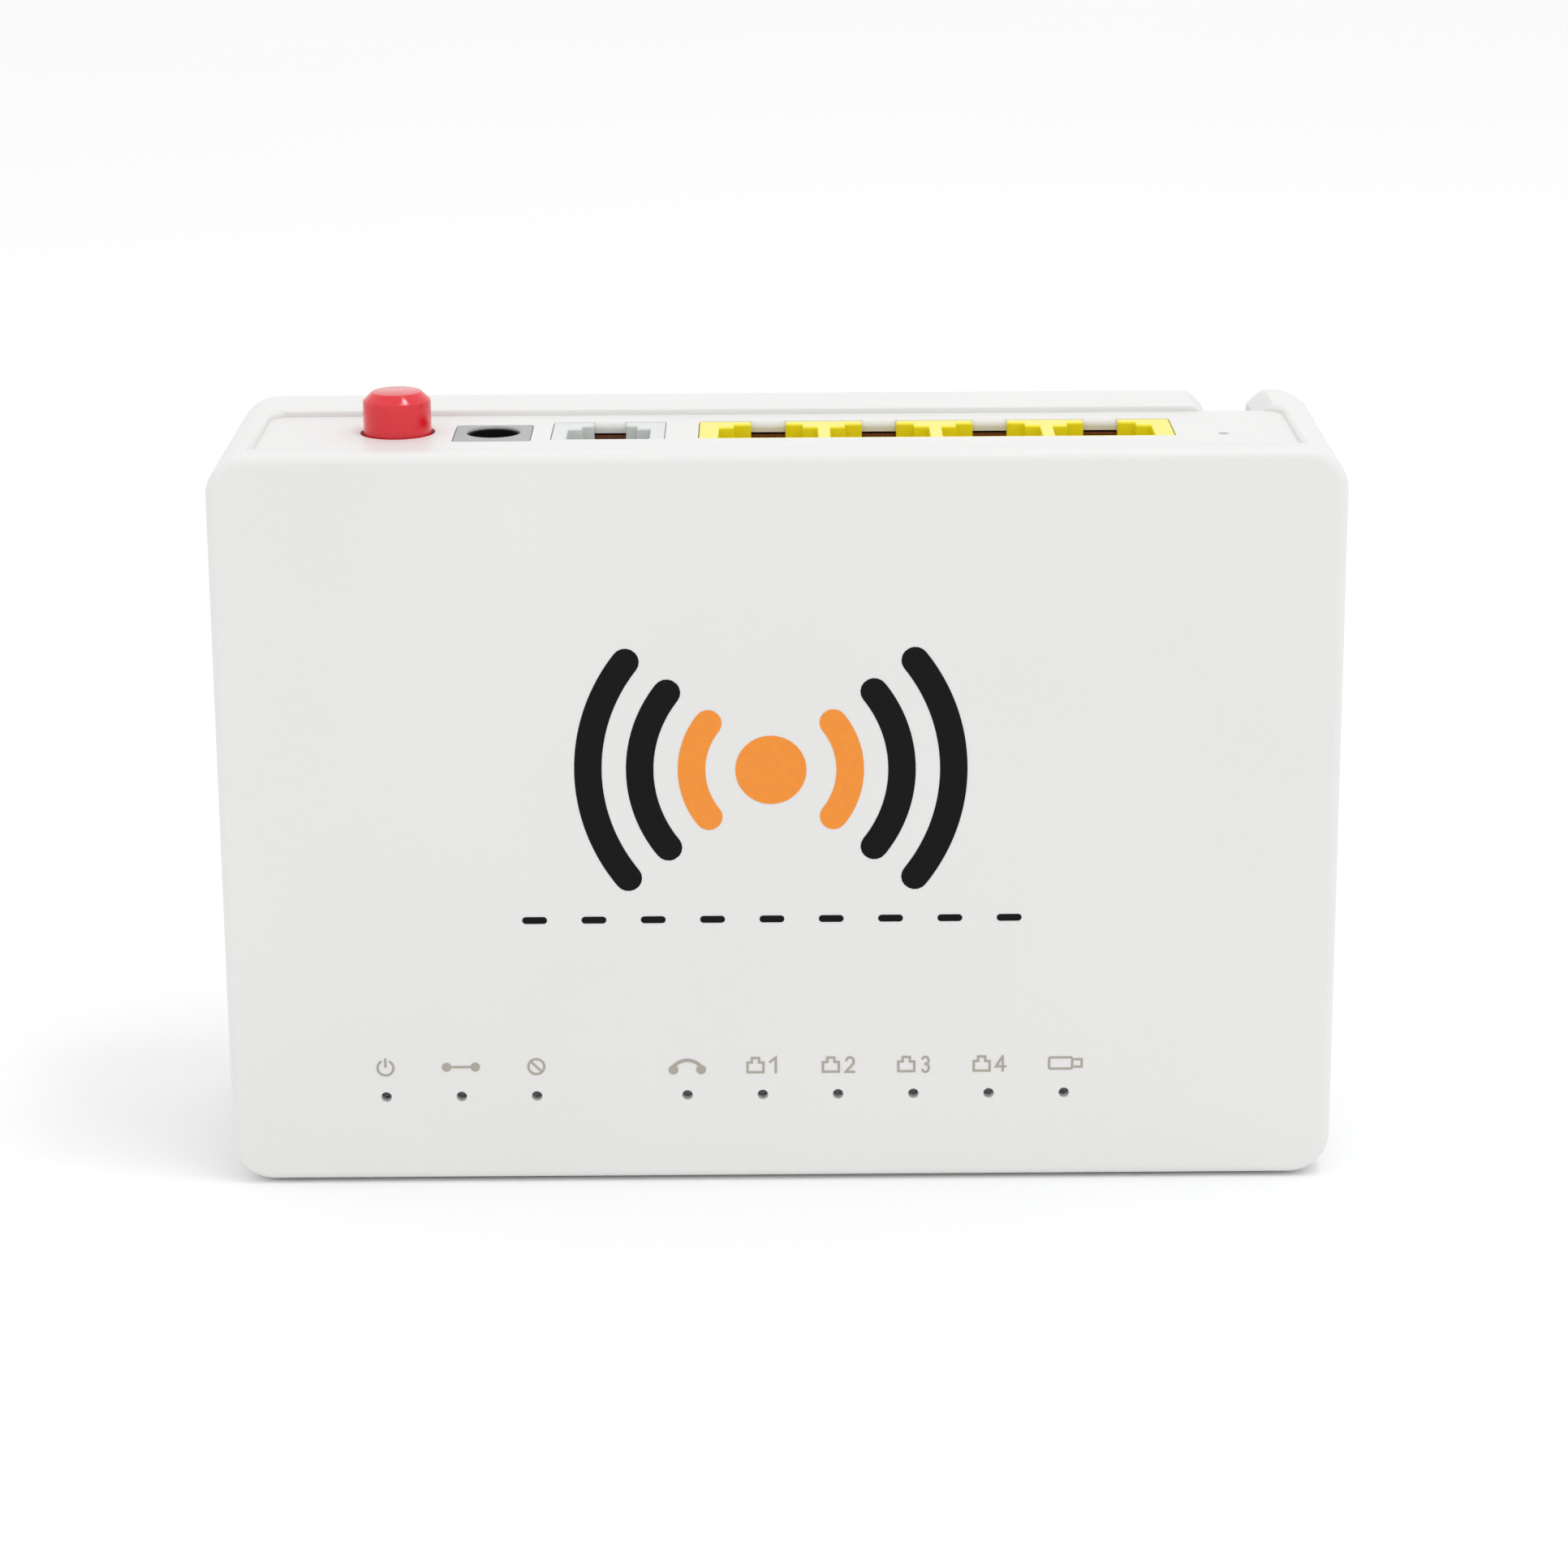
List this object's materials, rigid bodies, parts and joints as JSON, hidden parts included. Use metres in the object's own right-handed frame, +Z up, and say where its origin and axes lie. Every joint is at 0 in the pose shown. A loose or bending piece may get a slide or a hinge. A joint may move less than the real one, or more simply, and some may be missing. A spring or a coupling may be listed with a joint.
{
  "type": "optical network terminal",
  "caption": "Upright white network terminal: data, phone and power sockets and a push button on the top side, indicator holes in front, and a fibre bay with a hinged door at the back",
  "frame": {"origin": "middle of the bottom side, on the surface that the box stands on", "axes": "+X to the right seen from the front, +Y from the front face towards the wall, +Z up through the socket side"},
  "size_m": [0.139, 0.04, 0.0984],
  "materials": {
    "shell_white": "satin, very fine texture",
    "red_plastic": "glossy",
    "white_plastic": "smooth",
    "grey_plastic": "smooth",
    "light_grey_plastic": "smooth",
    "yellow_plastic": "smooth, slightly glossy",
    "black_plastic": "smooth",
    "green_plastic": "smooth",
    "rubber_dark": "matte",
    "label_paper": "blank film",
    "board": "brown solder mask over copper tracks",
    "tinned_metal": "bright",
    "gold_contact": "bright gold flash",
    "dark_ceramic": "matt ferrite",
    "heat_sink_metal": "anodised",
    "light_lens": "translucent lens",
    "clear_pipe": "clear moulded acrylic"
  },
  "bodies": {
    "enclosure": {"front_housing": "shell_white", "rear_base": "shell_white", "fibre_door_hinge_pin": "tinned_metal", "rating_label": "label_paper", "power_switch_body": "black_plastic", "power_switch_spring": "tinned_metal", "reset_switch_body": "black_plastic", "dc_jack_body": "grey_plastic", "dc_jack_pin": "tinned_metal", "dc_jack_spring_strip": "tinned_metal", "lan_jack_block": "yellow_plastic", "phone_jack_body": "light_grey_plastic", "phone_jack_contacts": "gold_contact", "usb_shell": "tinned_metal", "usb_tongue": "white_plastic", "optical_adapter": "green_plastic", "optical_module": "gold_contact", "main_board": "board", "system_chip": "black_plastic", "heat_sink": "heat_sink_metal", "memory_chip": "black_plastic", "flash_chip": "black_plastic", "phone_line_chip": "black_plastic", "lan_transformer_1": "black_plastic", "lan_transformer_2": "black_plastic", "power_inductor": "dark_ceramic", "bulk_capacitor_1": "black_plastic", "bulk_capacitor_2": "black_plastic", "timing_crystal": "tinned_metal", "light_pipe_bar": "clear_pipe", "rubber_foot_1": "rubber_dark", "housing_screw_1": "tinned_metal", "board_screw_1": "tinned_metal", "lan_jack_contacts_1": "gold_contact", "rubber_foot_2": "rubber_dark", "housing_screw_2": "tinned_metal", "board_screw_2": "tinned_metal", "lan_jack_contacts_2": "gold_contact", "rubber_foot_3": "rubber_dark", "housing_screw_3": "tinned_metal", "board_screw_3": "tinned_metal", "lan_jack_contacts_3": "gold_contact", "rubber_foot_4": "rubber_dark", "housing_screw_4": "tinned_metal", "board_screw_4": "tinned_metal", "lan_jack_contacts_4": "gold_contact", "light_power": "light_lens", "light_pon": "light_lens", "light_los": "light_lens", "light_tel": "light_lens", "light_lan1": "light_lens", "light_lan2": "light_lens", "light_lan3": "light_lens", "light_lan4": "light_lens", "light_usb": "light_lens"},
    "power_button": {"power_button": "red_plastic", "power_switch_plunger": "white_plastic"},
    "reset_plunger": {"reset_switch_plunger": "white_plastic"},
    "fibre_door": {"fibre_bay_door": "shell_white"},
    "dust_cap": {"optical_dust_cap": "black_plastic"}
  },
  "joints": [
    {"name": "power_button_press", "type": "slide", "parent": "enclosure", "child": "power_button", "axis": [0, 0, -1], "range_m": [0, 0.002], "stiffness_N_per_m": 900, "springref_m": -0.001, "deforming": ["power_switch_spring"]},
    {"name": "reset_press", "type": "slide", "parent": "enclosure", "child": "reset_plunger", "axis": [0, 0, -1], "range_m": [0, 0.0003], "stiffness_N_per_m": 2500, "springref_m": -0.0002},
    {"name": "fibre_door_hinge", "type": "hinge", "parent": "enclosure", "child": "fibre_door", "pos_m": [0.0468, 0.018, 0.0615], "axis": [0, 0, 1], "range_deg": [0, 100]},
    {"name": "dust_cap_pull", "type": "slide", "parent": "enclosure", "child": "dust_cap", "axis": [0, 0, 1], "range_m": [0, 0.009]}
  ]
}
